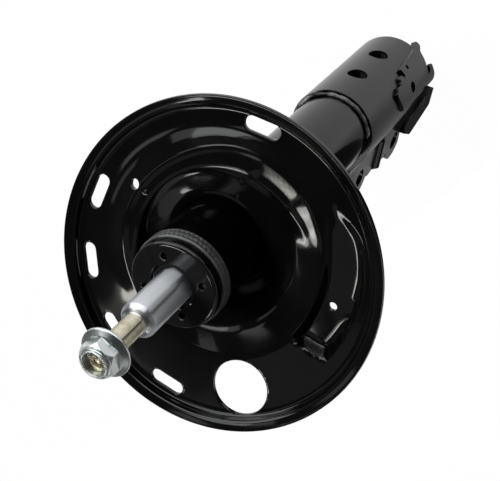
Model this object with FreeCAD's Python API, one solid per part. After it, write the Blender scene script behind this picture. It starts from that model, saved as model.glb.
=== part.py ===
import FreeCAD, Part
import math
import os
from FreeCAD import Placement, Rotation, Vector

os.makedirs("parts", exist_ok=True)

# Twin-tube suspension strut, in millimetres.
# The origin is the lower knuckle bolt, midway between the bracket's ears.
# +Z runs up along the strut, +X points outboard from the strut axis to the bolts.
# Shapes are built about the strut axis and moved by the bolt offset when saved.

# Knuckle bolts
bolt_offset = 46.0
bolt_spacing = 71.0
bolt_hole_radius = 7.1

# Strut tube
cap_face = 315.0
cap_height = 6.0
tube_radius = 25.4
tube_wall = 2.6
tube_length = 321.0
roll_height = 8.5
roll_proud = 0.9

# Fits
static_gap = 0.08
running_gap = 0.05
seat_gap = 0.15

# Rod and its end
rod_radius = 10.0
rod_showing = 34.0
shoulder_height = 2.5
shoulder_radius = 8.2
shank_radius = 6.0
shank_visible = 26.1
shank_past_nut = 8.4
groove_depth = 0.6
groove_width = 1.6
groove_from_nut = 4.5
socket_across_flats = 6.0
socket_depth = 5.0
rod_chamfer = 0.6

# Flange nut
nut_flats = 18.0
nut_turn = 8.0
nut_chamfer = 2.2
nut_flange_radius = 13.4
nut_flange_edge = 1.3
nut_flange_height = 3.2
nut_hex_height = 6.6
nut_collar_height = 1.9
nut_collar_radius = 7.4

# Closing cap
cap_hole_radius = 13.2
cap_thickness = 2.6
cap_edge_radius = 1.6
cap_spigot_depth = 3.0
cap_spigot_wall = 3.0
cap_port_radius = 2.0
cap_port_circle = 17.5
cap_port_count = 4
cap_port_turn = 25.0

# Seals and guide
seal_lip_height = 5.5
seal_disc = 1.6
seal_block = 3.0
seal_outer_radius = 12.4
garter_wire = 0.7
guide_height = 22.0
guide_spigot = 8.0
bushing_wall = 1.4
bushing_length = 16.0

# Working cylinder
cylinder_bore = 16.0
cylinder_wall = 1.5

# Stroke and the rod's inner end
stroke = 165.0
stop_height = 6.0
stop_radius = 14.0
bumper_height = 8.0
bumper_radius = 14.6
spigot_radius = 6.0
stop_washer = 2.4
check_lift = 0.8
check_plate = 1.0
check_spring = 0.6
check_hub_radius = 8.2
check_reach = 12.6
check_arm_width = 3.4
piston_height = 12.0
piston_gap = 0.3
piston_ring_height = 8.0
piston_ring_depth = 1.3
piston_port_count = 8
piston_port_radius = 1.3
piston_port_circle = 11.5
disc_thickness = 0.6
disc_radii = [13.0, 11.5, 9.6]
disc_washer_height = 2.5
disc_washer_radius = 8.4
piston_nut_height = 8.0
piston_nut_flats = 17.0
foot_room = 4.0

# Foot valve and base
foot_height = 16.0
foot_seat = 9.0
foot_flange = 3.0
foot_flange_gap = 1.8
foot_leg_count = 6
foot_leg_width = 5.0
foot_port_count = 6
foot_port_radius = 1.2
foot_port_circle = 9.5
foot_pin_radius = 3.0
foot_pin_head = 5.6
foot_pin_head_height = 1.8
foot_check_lift = 1.0
foot_check_plate = 0.9
foot_check_spring = 0.6
base_thickness = 3.0
base_recess = 5.0
base_weld_size = 2.2

# Spring seat
seat_tilt = 13.3
seat_centre_x = 4.0
seat_centre_y = 7.7
seat_rim_drop = 31.3
seat_rim_radius = 93.6
seat_sheet = 3.0
seat_floor_depth = 7.5
seat_rim_width = 5.4
seat_lip_depth = 2.2
seat_lip_lean = 1.0
seat_back_lean = 1.6
seat_well_radius = 57.0
seat_well_shift = -5.2
seat_turn_drop = 42.5
seat_turn_radius = 45.3
seat_turn_tilt = 10.2
seat_neck_drop = 50.5
seat_neck_radius = 29.6
seat_collar_length = 11.5
seat_weld_size = 4.0
seat_weld_foot = 0.8

# Bead round the well, seen from above, angles from outboard
bead_foot_radius = 59.8
bead_crest_outer = 57.6
bead_crest_inner = 55.2
bead_inner_radius = 50.5
bead_height = 4.2
bead_wall = 1.6
bead_start = 127.0
bead_end = 302.0

# Spring channel and its end stop
channel_start = 72.3
channel_end = 141.0
channel_deep = 8.5
channel_inner_start = 54.0
channel_inner_end = 64.0
channel_outer_start = 70.0
channel_rim_gap = 5.2
channel_outer_end = 74.0
channel_wide_at = 124.0
channel_sections = 7

# Openings in the seat
slot_rim_gap = 2.3
slot_length = 21.0
slot_width = 7.8
slot_angles = [178.1, 261.0, 290.8, 320.8, 351.4]
big_hole_radius = 16.2
big_hole_rim_gap = 0.4
big_hole_angle = 25.6
drain_radius = 3.0
drain_circle = 64.0
drain_angle = 245.8
pilot_radius = 2.5
pilot_circle = 65.0
pilot_angle = 91.0

# Knuckle bracket
bracket_sheet = 3.2
bracket_top = 103.5
bracket_bottom = -7.9
ear_half_gap = 14.8
ear_neck_angle = 60.0
ear_boss_radius = 15.3
ear_margin = 5.0
ear_waist = 51.5
ear_waist_taper = 4.0
ear_foot_rise = 12.0
ear_bottom_drop = 4.5
ear_top_start = 25.0
flange_width = 9.0
flange_start = -1.5
flange_far_start = 12.0
flange_end = 43.0
flange_corner = 2.0
flange_bend_at = 12.5
rib_width = 12.0
rib_height = 3.2
rib_at = 37.0
rib_start = 27.0
back_hole_radius = 6.9
back_hole_spacing = 40.0
back_hole_low = 29.0
back_hole_angle = 183.0
bracket_bead = 4.2
bracket_bead_start = 100.0
bracket_bead_turn = 160.0

# Hose bracket on the wrap, outline in angle round the tube and share of its height
hose_sheet = 2.3
hose_middle = 123.0
hose_bottom = -19.0
hose_top = 55.5
hose_outline = [(96.0, 0.9), (120.0, 1.0), (124.0, 0.993), (130.0, 0.933), (130.5, 0.832),
                (138.5, 0.812), (139.5, 0.758), (133.0, 0.738), (133.0, 0.691), (145.5, 0.705),
                (148.0, 0.497), (151.5, 0.242), (158.0, 0.107), (157.0, 0.074), (150.0, 0.074),
                (143.5, 0.161), (112.0, 0.188), (112.0, 0.114), (120.0, 0.114), (121.5, 0.081),
                (120.0, 0.047), (104.0, 0.0), (99.0, 0.007), (96.5, 0.047)]
hose_hole_radius = 3.9
hose_hole_angle = 115.4
hose_hole_height = 27.5
pin_hole_size = 3.0
pin_hole_angle = 141.5
pin_hole_height = 22.0

# Worked out from the sizes above
seat_lip_radius = seat_rim_radius - seat_rim_width
seat_floor_radius = seat_lip_radius - seat_lip_lean
channel_outer_wide = seat_floor_radius - channel_rim_gap
slot_circle = seat_floor_radius - slot_rim_gap - slot_width / 2
big_hole_circle = seat_floor_radius - big_hole_rim_gap - big_hole_radius
tube_top = cap_face - cap_height
tube_bottom = tube_top - tube_length
tube_bore = tube_radius - tube_wall
wrap_bore = tube_radius + seat_gap
wrap_radius = wrap_bore + bracket_sheet
ear_outside = ear_half_gap + bracket_sheet
ear_turn = math.radians(ear_neck_angle)
ear_start = (wrap_radius - ear_outside * math.cos(ear_turn)) / math.sin(ear_turn)
spigot_bore = tube_bore - cap_spigot_wall
foot_flange_radius = tube_bore - foot_flange_gap
seal_top = cap_face - 1.2
seal_floor = seal_top - seal_lip_height
disc_floor = seal_floor - seal_disc
block_floor = disc_floor - seal_block
guide_top = block_floor - static_gap
guide_floor = guide_top - guide_height
shoulder_floor = cap_face + rod_showing
shoulder_top = shoulder_floor + shoulder_height
nut_seat = shoulder_top + shank_visible
rod_end = nut_seat + shank_past_nut
cylinder_top = guide_floor
base_top = tube_bottom + base_recess + base_thickness
foot_floor = base_top
foot_top = foot_floor + foot_height
cylinder_floor = foot_floor + foot_height - foot_seat


def turned(points):
    # Solid of revolution about the strut axis from a closed outline of (radius, height) points
    outline = [Vector(r, 0, z) for r, z in points]
    face = Part.Face(Part.makePolygon(outline + [outline[0]]))
    return face.revolve(Vector(0, 0, 0), Vector(0, 0, 1), 360)


def ring(inner, outer, low, high):
    if inner <= 0:
        return Part.makeCylinder(outer, high - low, Vector(0, 0, low))
    return turned([(inner, low), (outer, low), (outer, high), (inner, high)])


def polar(radius, angle, height=0.0):
    turn = math.radians(angle)
    return Vector(radius * math.cos(turn), radius * math.sin(turn), height)


def prism(points, low, high):
    # Upright prism from a closed outline of (x, y) points
    outline = [Vector(x, y, low) for x, y in points]
    face = Part.Face(Part.makePolygon(outline + [outline[0]]))
    return face.extrude(Vector(0, 0, high - low))


def hexagon(flats, low, high, turn=0.0):
    corner = flats / math.sqrt(3)
    points = [polar(corner, turn + 60 * i) for i in range(6)]
    return prism([(p.x, p.y) for p in points], low, high)


def ports(count, circle, radius, low, high, turn=0.0):
    holes = []
    for i in range(count):
        centre = polar(circle, turn + 360.0 * i / count, low)
        holes.append(Part.makeCylinder(radius, high - low, centre))
    return Part.makeCompound(holes)


def slot(length, width, low, high):
    # Round-ended slot along Y, centred on the Z axis
    half = (length - width) / 2
    body = Part.makeBox(width, 2 * half, high - low, Vector(-width / 2, -half, low))
    for side in (-half, half):
        body = body.fuse(Part.makeCylinder(width / 2, high - low, Vector(0, side, low)))
    return body.removeSplitter()


def save(name, *solids):
    shape = solids[0] if len(solids) == 1 else Part.makeCompound(list(solids))
    shape = shape.copy()
    shape.translate(Vector(-bolt_offset, 0, 0))
    shape.exportStep("parts/" + name + ".step")
    box = shape.BoundBox
    size = "%.1f x %.1f x %.1f" % (box.XLength, box.YLength, box.ZLength)
    print(name, "solids", len(shape.Solids), "valid", shape.isValid(), "size", size)


def build_tube():
    # Tube with its top end rolled out a little
    roll_low = tube_top - roll_height
    outer = [(tube_bore, tube_bottom), (tube_radius, tube_bottom), (tube_radius, roll_low - 1.5)]
    outer += [(tube_radius + roll_proud, roll_low), (tube_radius + roll_proud, tube_top - 0.8)]
    outer += [(tube_radius, tube_top), (tube_bore, tube_top)]
    return turned(outer)


def build_base():
    # Pressed cup that closes the tube, open side down, and the weld that holds it
    radius = tube_bore - static_gap
    floor = tube_bottom + base_recess
    wall = radius - 2.5
    edge = tube_bottom + 1
    cup = turned([(0, floor), (wall, floor), (wall, edge), (radius, edge),
                  (radius, base_top), (0, base_top)])
    weld = turned([(wall + 0.4, edge - static_gap), (radius, edge - static_gap),
                   (radius, tube_bottom - static_gap), (tube_radius - 0.3, tube_bottom - static_gap),
                   (tube_radius - 0.9, tube_bottom - base_weld_size * 0.6),
                   (wall + 1.2, tube_bottom - base_weld_size * 0.5)])
    return cup, weld


def build_cap():
    # Flat cap with a rounded edge, a spigot inside the tube and four small holes
    inside = cap_face - cap_thickness
    spigot_low = tube_top - cap_spigot_depth
    spigot = tube_bore - static_gap
    rest = tube_top + static_gap
    cap = turned([(cap_hole_radius, inside), (spigot_bore, inside), (spigot_bore, spigot_low),
                  (spigot, spigot_low), (spigot, rest), (tube_radius, rest),
                  (tube_radius, cap_face), (cap_hole_radius, cap_face)])
    rim = [e for e in cap.Edges if abs(e.BoundBox.ZMin - cap_face) < 1e-6 and e.BoundBox.ZLength < 1e-6
           and abs(e.BoundBox.XMax - tube_radius) < 1e-3]
    cap = cap.makeFillet(cap_edge_radius, rim)
    holes = ports(cap_port_count, cap_port_circle, cap_port_radius, inside - 1, cap_face + 1, cap_port_turn)
    return cap.cut(holes)


def build_seals():
    # Rubber seal round the rod, bonded to a steel washer, with a garter spring in its groove
    lip = rod_radius + running_gap
    neck = cap_hole_radius - 0.5
    groove = seal_top - 2.6
    seal = turned([(lip, seal_floor), (neck, seal_floor), (neck, groove - garter_wire - 0.1),
                   (neck - 0.9, groove - garter_wire), (neck - 0.9, groove + garter_wire),
                   (neck, groove + garter_wire + 0.1), (neck, seal_top), (lip + 1.4, seal_top),
                   (lip, seal_top - 1.0)])
    spring = Part.makeTorus(neck - 0.9 + garter_wire + static_gap, garter_wire, Vector(0, 0, groove))
    washer = ring(seal_outer_radius - 0.9, spigot_bore - static_gap, disc_floor, seal_floor - static_gap)
    return seal, spring, washer


def build_guide():
    # Sintered guide that centres the rod and closes the working cylinder
    bore = rod_radius + running_gap + bushing_wall + static_gap
    spigot = cylinder_bore - static_gap
    body = turned([(bore, guide_floor - guide_spigot), (spigot, guide_floor - guide_spigot),
                   (spigot, guide_floor), (tube_bore - static_gap, guide_floor + 2),
                   (tube_bore - static_gap, guide_top), (bore, guide_top)])
    low = guide_floor - guide_spigot + 2
    bushing = ring(rod_radius + running_gap, bore - static_gap, low, low + bushing_length)
    lip = rod_radius + running_gap + 0.6
    reservoir = ring(lip, spigot_bore - static_gap, block_floor, disc_floor - static_gap)
    return body, bushing, reservoir


def build_cylinder():
    low = cylinder_floor + static_gap
    return ring(cylinder_bore, cylinder_bore + cylinder_wall, low, cylinder_top - static_gap)


def build_foot_valve():
    # Foot valve body on legs, with its port discs, pin, check plate and spring
    flange_low = cylinder_floor - foot_flange
    body = turned([(foot_pin_radius + static_gap, flange_low), (foot_flange_radius, flange_low),
                   (foot_flange_radius, cylinder_floor), (cylinder_bore - static_gap, cylinder_floor),
                   (cylinder_bore - static_gap, foot_top), (foot_pin_radius + static_gap, foot_top)])
    legs = []
    for i in range(foot_leg_count):
        leg = Part.makeBox(foot_leg_width, foot_leg_width, flange_low - foot_floor,
                           Vector(cylinder_bore - 2, -foot_leg_width / 2, foot_floor))
        leg.rotate(Vector(0, 0, 0), Vector(0, 0, 1), 360.0 * i / foot_leg_count)
        legs.append(leg)
    body = body.multiFuse(legs).removeSplitter()
    holes = ports(foot_port_count, foot_port_circle, foot_port_radius, flange_low - 1, foot_top + 1)
    body = body.cut(holes)
    discs = []
    level = flange_low
    for i in range(2):
        outer = foot_port_circle + 3 - 3 * i
        discs.append(ring(foot_pin_radius + static_gap, outer, level - disc_thickness, level))
        level -= disc_thickness
    head_low = foot_top + foot_check_plate + foot_check_lift + static_gap + foot_check_spring
    pin = ring(0, foot_pin_radius, level - foot_pin_head_height, head_low + foot_pin_head_height)
    pin = pin.fuse(ring(0, foot_pin_head, head_low, head_low + foot_pin_head_height))
    pin = pin.fuse(ring(0, foot_pin_head, level - foot_pin_head_height, level)).removeSplitter()
    bore = foot_pin_radius + running_gap
    plate = ring(bore, foot_port_circle + 3, foot_top, foot_top + foot_check_plate)
    spring_low = head_low - foot_check_spring
    spring = star(bore, foot_pin_head + 1.2, foot_port_circle + 1, 3, 3.0, spring_low, head_low)
    return body, discs, pin, plate, spring


def star(bore, hub, reach, arms, width, low, high):
    # Flat spring: a hub ring with straight arms
    body = ring(bore, hub, low, high)
    for i in range(arms):
        arm = Part.makeBox(reach - hub + 1, width, high - low, Vector(hub - 1, -width / 2, low))
        arm.rotate(Vector(0, 0, 0), Vector(0, 0, 1), 360.0 * i / arms)
        body = body.fuse(arm)
    return body.removeSplitter()


def build_rod(nut_floor):
    # Chromed rod, its shouldered shank above and the piston's spigot below
    spigot_top = rod_inner_shoulder
    profile = [(0, nut_floor - 1), (spigot_radius, nut_floor - 1), (spigot_radius, spigot_top),
               (rod_radius - rod_chamfer, spigot_top), (rod_radius, spigot_top + rod_chamfer),
               (rod_radius, shoulder_floor), (shoulder_radius, shoulder_top), (shank_radius, shoulder_top)]
    groove = nut_seat - groove_from_nut
    profile += [(shank_radius, groove - groove_width), (shank_radius - groove_depth, groove - groove_width),
                (shank_radius - groove_depth, groove), (shank_radius, groove),
                (shank_radius, rod_end - rod_chamfer), (shank_radius - rod_chamfer, rod_end), (0, rod_end)]
    rod = turned(profile)
    return rod.cut(hexagon(socket_across_flats, rod_end - socket_depth, rod_end + 1))


def build_nut():
    # Flange nut: cone-faced flange, chamfered hexagon and round collar
    bore = shank_radius + static_gap
    corner = nut_flats / math.sqrt(3)
    flange_top = nut_seat + nut_flange_height
    hex_top = flange_top + nut_hex_height
    top = hex_top + nut_collar_height
    edge_top = nut_seat + nut_flange_edge
    flange = turned([(bore, nut_seat), (nut_flange_radius, nut_seat), (nut_flange_radius, edge_top),
                     (corner * 0.9, flange_top), (bore, flange_top)])
    body = hexagon(nut_flats, edge_top, hex_top, nut_turn)
    flat = nut_flats / 2
    chamfer = turned([(0, nut_seat), (corner + 1, nut_seat), (corner + 1, hex_top - nut_chamfer),
                      (flat - 0.6, hex_top), (0, hex_top)])
    body = body.common(chamfer)
    collar = ring(bore, nut_collar_radius, hex_top - 1, top)
    bored = ring(0, bore, nut_seat - 1, top + 1)
    return flange.fuse(body).fuse(collar).cut(bored).removeSplitter()


def build_piston_set():
    # Everything clamped on the rod's spigot, from its shoulder down to the nut
    level = rod_inner_shoulder
    bore = spigot_radius + static_gap
    washer = ring(bore, check_reach + 0.4, level - stop_washer, level)
    level -= stop_washer
    spring = star(bore, disc_washer_radius, check_reach, 3, check_arm_width, level - check_spring, level)
    level -= check_spring
    plate_top = level - check_lift - static_gap
    spring = spring.fuse(ring(bore, check_hub_radius, plate_top - check_plate, level)).removeSplitter()
    plate = ring(check_hub_radius + running_gap, check_reach + 0.8, plate_top - check_plate, plate_top)
    level = plate_top - check_plate
    low = level - piston_height
    outer = cylinder_bore - piston_gap
    band_low = (level + low - piston_ring_height) / 2
    band_high = band_low + piston_ring_height
    inner = outer - piston_ring_depth
    piston = turned([(bore, low), (outer, low), (outer, band_low), (inner, band_low), (inner, band_high),
                     (outer, band_high), (outer, level), (bore, level)])
    holes = ports(piston_port_count, piston_port_circle, piston_port_radius, low - 1, level + 1)
    piston = piston.cut(holes)
    band = ring(inner + running_gap, cylinder_bore - running_gap,
                band_low + running_gap, band_high - running_gap)
    discs = []
    level = low
    for radius in disc_radii:
        discs.append(ring(bore, radius, level - disc_thickness, level))
        level -= disc_thickness
    backing = ring(bore, disc_washer_radius, level - disc_washer_height, level)
    level -= disc_washer_height
    nut = hexagon(piston_nut_flats, level - piston_nut_height, level)
    nut = nut.cut(ring(0, bore, level - piston_nut_height - 1, level + 1))
    return washer, spring, plate, piston, band, discs, backing, nut


def build_rod_stops():
    # Rebound stop ring on the rod and the bumper that meets the guide at full extension
    top = guide_floor - guide_spigot - stroke
    bore = rod_radius + static_gap
    bumper = ring(bore, bumper_radius, top - bumper_height, top)
    stop_top = top - bumper_height
    stop_low = stop_top - stop_height
    stop = turned([(bore, stop_low), (rod_radius + 2, stop_low), (stop_radius, stop_top - 2),
                   (stop_radius, stop_top), (bore, stop_top)])
    return bumper, stop


def seat_place():
    # The dish leans so that its outboard side is raised
    return Placement(Vector(seat_centre_x, seat_centre_y, cap_face - seat_rim_drop),
                     Rotation(Vector(0, 1, 0), -seat_tilt))


def channel_solid(grow, top, deeper):
    # Loft of boxes round the seat: inner and outer radius and depth change with the angle
    wires = []
    for i in range(channel_sections):
        part = i / (channel_sections - 1)
        angle = channel_start + part * (channel_end - channel_start)
        if i == 0:
            angle -= math.degrees(grow / channel_outer_start)
        wide = (channel_wide_at - channel_start) / (channel_end - channel_start)
        if part <= wide:
            share = math.sin(math.pi / 2 * part / wide)
            outer = channel_outer_start + share * (channel_outer_wide - channel_outer_start)
        else:
            share = (part - wide) / (1 - wide)
            outer = channel_outer_wide + share * (channel_outer_end - channel_outer_wide)
        share = math.sin(math.pi / 2 * part)
        inner = channel_inner_start + share * (channel_inner_end - channel_inner_start)
        low = -seat_floor_depth - channel_deep * (1 - part) - 0.05 - deeper
        corners = [polar(inner - grow, angle, top), polar(outer + grow, angle, top),
                   polar(outer + grow, angle, low), polar(inner - grow, angle, low)]
        wires.append(Part.makePolygon(corners + [corners[0]]))
    return Part.makeLoft(wires, True, False)


def bead_solid(inset, drop):
    # Ridge round the well over part of a turn, steep outside and sloping inside
    floor = -seat_floor_depth - drop
    slope = bead_height + seat_sheet
    points = [(bead_foot_radius - inset, floor - seat_sheet), (bead_foot_radius - inset, floor),
              (bead_crest_outer - inset * 0.6, floor + bead_height),
              (bead_crest_inner + inset * 0.6, floor + bead_height),
              (bead_inner_radius + inset, floor + bead_height - slope)]
    outline = [Vector(r, 0, z) for r, z in points]
    face = Part.Face(Part.makePolygon(outline + [outline[0]]))
    face.rotate(Vector(0, 0, 0), Vector(0, 0, 1), bead_start)
    body = face.revolve(Vector(0, 0, 0), Vector(0, 0, 1), bead_end - bead_start)
    body.translate(Vector(seat_well_shift, 0, 0))
    return body


def well_solid(grow, drop, top):
    # Funnel from a circle in the tilted floor, over a turn-down, to a level circle round the tube
    upper = Part.Wire(Part.makeCircle(seat_well_radius + grow, Vector(seat_well_shift, 0, top)))
    upper.Placement = seat_place()
    turn = Part.Wire(Part.makeCircle(seat_turn_radius + grow, Vector(0, 0, 0)))
    turn.Placement = Placement(Vector(0, 0, cap_face - seat_turn_drop - drop),
                               Rotation(Vector(0, 1, 0), -seat_turn_tilt))
    neck = Vector(0, 0, cap_face - seat_neck_drop - drop)
    lower = Part.Wire(Part.makeCircle(seat_neck_radius + grow, neck))
    return Part.makeLoft([upper, turn, lower], True, True)


def build_seat():
    # Pressed dish: rim, floor, funnel and collar, then channel, bead, slots and holes
    place = seat_place()
    floor = -seat_floor_depth
    under = floor - seat_sheet
    dish = turned([(0, floor), (seat_floor_radius, floor), (seat_lip_radius, -seat_lip_depth),
                   (seat_rim_radius, 0), (seat_rim_radius + 0.4, -seat_sheet),
                   (seat_lip_radius + seat_back_lean, -seat_lip_depth - seat_sheet),
                   (seat_floor_radius + seat_back_lean, under), (0, under)])
    dish = dish.fuse(channel_solid(seat_sheet, floor, seat_sheet))
    dish.Placement = place
    dish = dish.fuse(well_solid(seat_sheet, seat_sheet, floor - seat_sheet / 2))
    neck = cap_face - seat_neck_drop
    bore = tube_radius + seat_gap
    collar = ring(bore - 1, bore + seat_sheet, neck - seat_sheet - seat_collar_length, neck)
    dish = dish.fuse(collar)
    dish = dish.cut(well_solid(0, 0, floor + running_gap))
    bead = bead_solid(0, 0)
    bead.Placement = place.multiply(bead.Placement)
    dish = dish.fuse(bead)
    cutters = [channel_solid(0, 0, 0), bead_solid(bead_wall, seat_sheet)]
    for angle in slot_angles:
        cutter = slot(slot_length, slot_width, under - seat_sheet, 0)
        cutter.translate(Vector(slot_circle, 0, 0))
        cutter.rotate(Vector(0, 0, 0), Vector(0, 0, 1), angle)
        cutters.append(cutter)
    deep = seat_floor_depth + channel_deep + 2 * seat_sheet
    for radius, circle, angle in ((big_hole_radius, big_hole_circle, big_hole_angle),
                                  (drain_radius, drain_circle, drain_angle),
                                  (pilot_radius, pilot_circle, pilot_angle)):
        cutters.append(Part.makeCylinder(radius, deep, polar(circle, angle, -deep)))
    for cutter in cutters:
        cutter.Placement = place.multiply(cutter.Placement)
        dish = dish.cut(cutter)
    weld_top = neck - seat_sheet - seat_collar_length
    dish = dish.cut(ring(0, bore, weld_top - seat_sheet, cap_face))
    weld_low = weld_top - seat_weld_size
    weld = turned([(bore, weld_top - seat_gap), (bore, weld_low), (bore + seat_weld_foot, weld_low),
                   (bore + seat_sheet - 0.2, weld_top - seat_gap)])
    return dish, weld


def bracket_outline(radius, half, reach):
    # Face of a round back whose sides run straight in from the neck angle to the parallel ears
    turn = math.radians(ear_neck_angle)
    leave = Vector(radius * math.cos(turn), radius * math.sin(turn), 0)
    run = (leave.y - half) / math.cos(turn)
    corner = Vector(leave.x + run * math.sin(turn), half, 0)
    end = Vector(reach, half, 0)

    def flip(v):
        return Vector(v.x, -v.y, 0)

    arc = Part.Arc(leave, Vector(-radius, 0, 0), flip(leave)).toShape()
    lines = [(flip(leave), flip(corner)), (flip(corner), flip(end)), (flip(end), end),
             (end, corner), (corner, leave)]
    edges = [arc] + [Part.makeLine(a, b) for a, b in lines]
    return Part.Face(Part.Wire(edges))


def build_bracket():
    # Sheet wrapped round the tube, trimmed to its side outline, with turned-out edges, rib and holes
    low = -ear_boss_radius - ear_margin
    height = bracket_top - low
    reach = bolt_offset + ear_boss_radius + ear_margin
    solid = bracket_outline(wrap_radius, ear_outside, reach).extrude(Vector(0, 0, height))
    hollow = bracket_outline(wrap_bore, ear_half_gap, reach + ear_margin).extrude(Vector(0, 0, height))
    sheet = solid.cut(hollow)
    sheet.translate(Vector(0, 0, low))
    wide = 2 * (wrap_radius + flange_width)

    def side(points):
        outline = [Vector(x, wide / 2, z) for x, z in points]
        face = Part.Face(Part.makePolygon(outline + [outline[0]]))
        return face.extrude(Vector(0, -wide, 0))

    ear_low = bracket_bottom - ear_bottom_drop
    boss_top = bolt_spacing + ear_boss_radius
    back = -wrap_radius - ear_margin
    trim = side([(back, bracket_bottom), (flange_start, bracket_bottom),
                 (bolt_offset - ear_waist_taper, ear_low), (ear_waist, ear_low + ear_foot_rise),
                 (ear_waist, bolt_spacing - ear_waist_taper), (bolt_offset + ear_waist_taper, boss_top - 1),
                 (ear_top_start, bracket_top), (back, bracket_top)])
    for z in (0, bolt_spacing):
        boss = Part.makeCylinder(ear_boss_radius, wide, Vector(bolt_offset, wide / 2, z), Vector(0, -1, 0))
        trim = trim.fuse(boss)
    sheet = sheet.common(trim)
    for sign in (1, -1):
        sheet = sheet.fuse(edge_flange(sign))
        sheet = sheet.fuse(rib_solid(sign, 0))
    for sign in (1, -1):
        sheet = sheet.cut(rib_solid(sign, bracket_sheet))
    for z in (0, bolt_spacing):
        centre = Vector(bolt_offset, wide / 2, z)
        sheet = sheet.cut(Part.makeCylinder(bolt_hole_radius, wide, centre, Vector(0, -1, 0)))
    for i in range(2):
        centre = Vector(0, 0, back_hole_low + back_hole_spacing * i)
        reach = wrap_radius + ear_margin
        sheet = sheet.cut(Part.makeCylinder(back_hole_radius, reach, centre, polar(1, back_hole_angle)))
    sheet = sheet.cut(ring(0, wrap_bore, low - 1, bracket_top + 1))
    return sheet.removeSplitter()


def edge_flange(sign):
    # Strip turned outwards along the lower edge, following its slope
    start = flange_start if sign > 0 else flange_far_start
    slope_end = bracket_bottom - ear_bottom_drop
    points = [(flange_start, bracket_bottom), (flange_end, slope_end),
              (flange_end, slope_end + bracket_sheet), (flange_start, bracket_bottom + bracket_sheet)]
    outline = [Vector(x, 0, z) for x, z in points]
    face = Part.Face(Part.makePolygon(outline + [outline[0]]))
    strip = face.extrude(Vector(0, sign * (wrap_radius + flange_width), 0))
    lean = math.sqrt(max(wrap_radius ** 2 - start ** 2, 0)) - 1.5
    edge = [(start, lean), (ear_start, ear_outside - 0.5), (flange_end, ear_outside - 0.5),
            (flange_end, ear_outside + flange_width * 0.5),
            (flange_end - flange_corner, ear_outside + flange_width),
            (flange_bend_at, wrap_radius + flange_width * 0.66), (start, wrap_radius + flange_width * 0.7)]
    keep = prism([(x, sign * y) for x, y in edge], slope_end - 1, bracket_bottom + bracket_sheet + 1)
    return strip.common(keep)


def rib_solid(sign, inset):
    # Rounded rib pressed outwards across the ear between the bolts
    half = rib_width / 2 - inset * 0.8
    base = ear_outside - 0.5 - inset
    left = Vector(rib_start, sign * base, rib_at - half)
    right = Vector(rib_start, sign * base, rib_at + half)
    crest = Vector(rib_start, sign * (ear_outside + rib_height - inset), rib_at)
    edges = [Part.Arc(left, crest, right).toShape(), Part.makeLine(right, left)]
    return Part.Face(Part.Wire(edges)).extrude(Vector(ear_waist + 0.8 - rib_start, 0, 0))


def build_bracket_weld():
    # Weld bead along the back of the bracket's upper edge
    low = bracket_top + seat_gap
    high = bracket_top + bracket_bead
    toe = bracket_sheet - 2 * seat_gap
    points = [(wrap_bore, low), (wrap_bore + toe, low), (wrap_bore + toe / 3, high), (wrap_bore, high)]
    outline = [Vector(r, 0, z) for r, z in points]
    face = Part.Face(Part.makePolygon(outline + [outline[0]]))
    face.rotate(Vector(0, 0, 0), Vector(0, 0, 1), bracket_bead_start)
    return face.revolve(Vector(0, 0, 0), Vector(0, 0, 1), bracket_bead_turn)


def build_hose_bracket():
    # Thin plate curved round the wrap, cut to its notched outline with two fingers and a hook
    inner = wrap_radius + seat_gap
    outer = inner + hose_sheet
    plate = ring(inner, outer, hose_bottom - hose_sheet, hose_top + hose_sheet)
    points = []
    for angle, share in hose_outline:
        across = outer * math.sin(math.radians(angle - hose_middle))
        points.append(Vector(0, across, hose_bottom + share * (hose_top - hose_bottom)))
    face = Part.Face(Part.makePolygon(points + [points[0]]))
    keep = face.extrude(Vector(outer + hose_sheet, 0, 0))
    keep.rotate(Vector(0, 0, 0), Vector(0, 0, 1), hose_middle)
    plate = plate.common(keep)
    reach = outer + hose_sheet
    centre = Vector(0, 0, hose_hole_height)
    plate = plate.cut(Part.makeCylinder(hose_hole_radius, reach, centre, polar(1, hose_hole_angle)))
    pin = Part.makeBox(reach, pin_hole_size, pin_hole_size, Vector(0, -pin_hole_size / 2, pin_hole_height))
    pin.rotate(Vector(0, 0, 0), Vector(0, 0, 1), pin_hole_angle)
    return plate.cut(pin).removeSplitter()


# Heights of the rod's inner end, stacked up from the foot valve
foot_clear = foot_top + foot_check_plate + foot_check_lift + static_gap + foot_check_spring
foot_clear += foot_pin_head_height + foot_room
stack = stop_washer + check_spring + check_lift + static_gap + check_plate + piston_height
stack += disc_thickness * len(disc_radii) + disc_washer_height + piston_nut_height
rod_inner_shoulder = foot_clear + stack

cup, base_bead = build_base()
seal, garter, seal_ring = build_seals()
guide, bushing, reservoir = build_guide()
foot_body, foot_discs, foot_pin, foot_plate, foot_spring = build_foot_valve()
seat, seat_bead = build_seat()
washer, spring, plate, piston, band, discs, backing, inner_nut = build_piston_set()
bumper, stop = build_rod_stops()

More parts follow.
